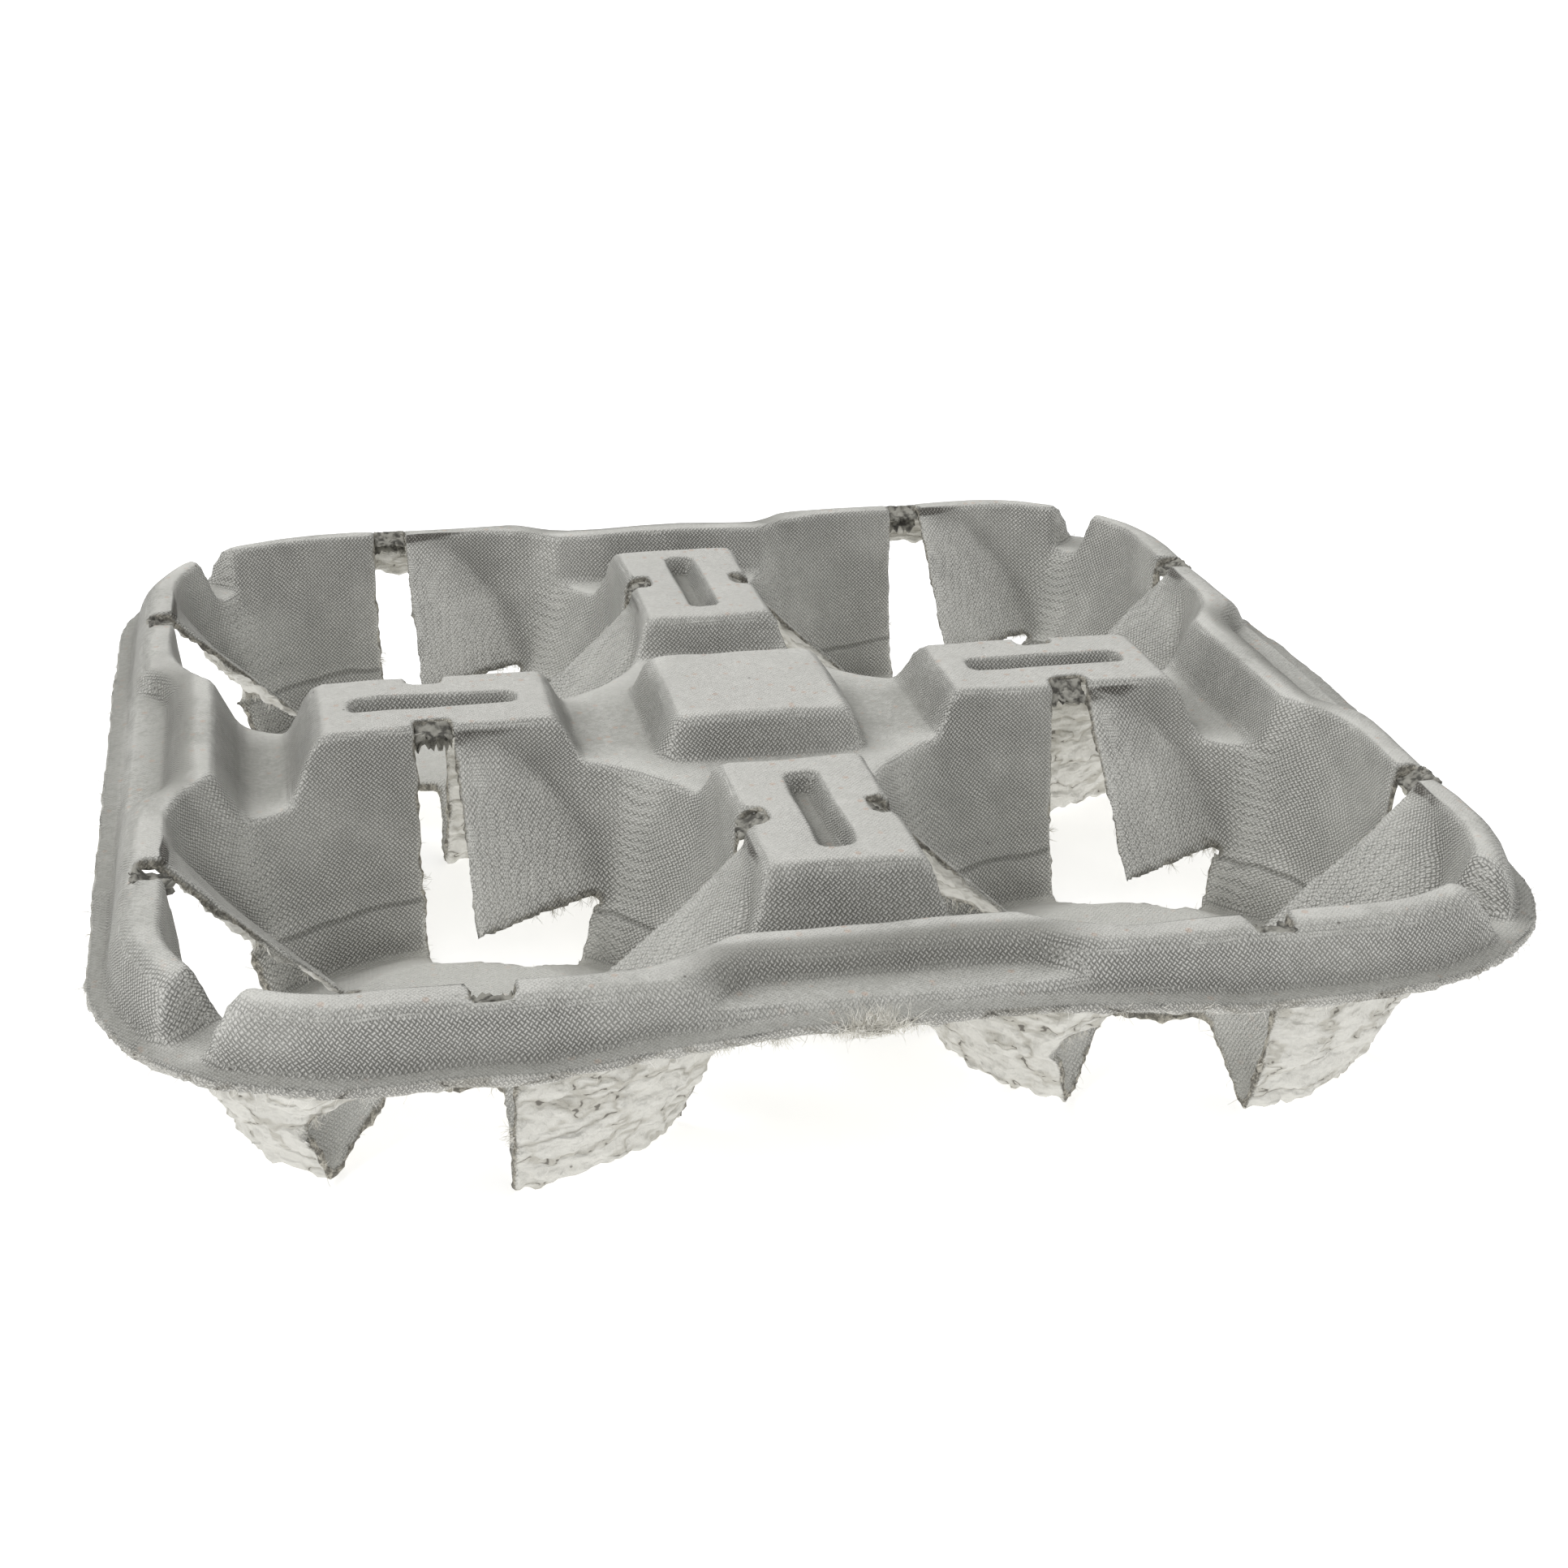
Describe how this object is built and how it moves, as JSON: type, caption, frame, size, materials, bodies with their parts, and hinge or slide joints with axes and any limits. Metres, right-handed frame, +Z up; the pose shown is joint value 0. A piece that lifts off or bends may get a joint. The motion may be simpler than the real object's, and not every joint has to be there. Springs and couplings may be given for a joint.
{
  "type": "cup carrier",
  "caption": "Moulded pulp cup carrier tray: drafted wells with slots and leaning flaps, grooved bosses and a block between them, and a stepped rim with a flat lip.",
  "frame": {"origin": "middle of the tray on the plane under its feet", "axes": "+Z up through the open wells, +X and +Y across the square tray along its sides"},
  "size_m": [0.2094, 0.2094, 0.038],
  "materials": {
    "pulp": "matt grey moulded paper pulp, fine screen imprint on the upper face, rough below"
  },
  "bodies": {
    "root": {"cup_carrier": "pulp"}
  },
  "joints": []
}
